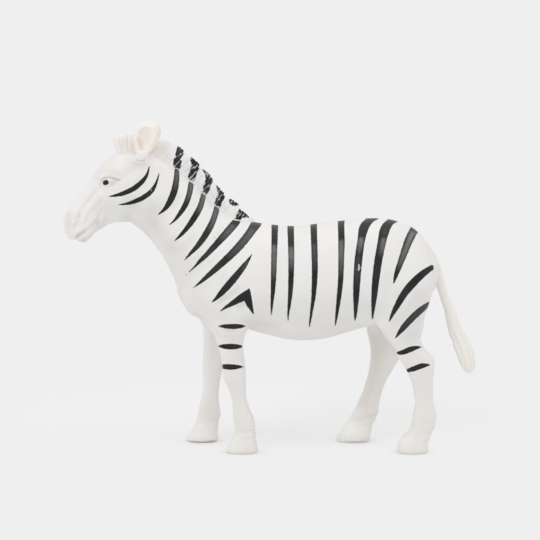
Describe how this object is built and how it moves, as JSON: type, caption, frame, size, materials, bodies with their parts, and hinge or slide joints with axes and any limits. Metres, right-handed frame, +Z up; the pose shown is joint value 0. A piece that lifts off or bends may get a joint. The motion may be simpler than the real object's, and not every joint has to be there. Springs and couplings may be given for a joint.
{
  "type": "toy animal figure",
  "caption": "Moulded plastic toy zebra in mid stride on flat-soled hooves, with an upright mane, cupped ears, a hanging tail and painted stripes.",
  "frame": {"origin": "on the floor, below the middle of the figure's box", "axes": "-X towards the head, +X towards the tail, -Y the animal's left side, +Z up"},
  "size_m": [0.1404, 0.0346, 0.1114],
  "materials": {
    "striped_pvc": "satin soft PVC with near-black painted stripes",
    "mane_pvc": "satin soft PVC with combed grooves and painted bars",
    "plain_pvc": "satin soft PVC, unpainted"
  },
  "bodies": {
    "root": {"torso_left_shell": "striped_pvc", "torso_right_shell": "striped_pvc", "head_and_neck": "striped_pvc", "mane": "mane_pvc", "left_ear": "plain_pvc", "right_ear": "plain_pvc", "left_foreleg": "striped_pvc", "right_foreleg": "striped_pvc", "left_hind_leg": "striped_pvc", "right_hind_leg": "striped_pvc", "tail": "plain_pvc"}
  },
  "joints": []
}
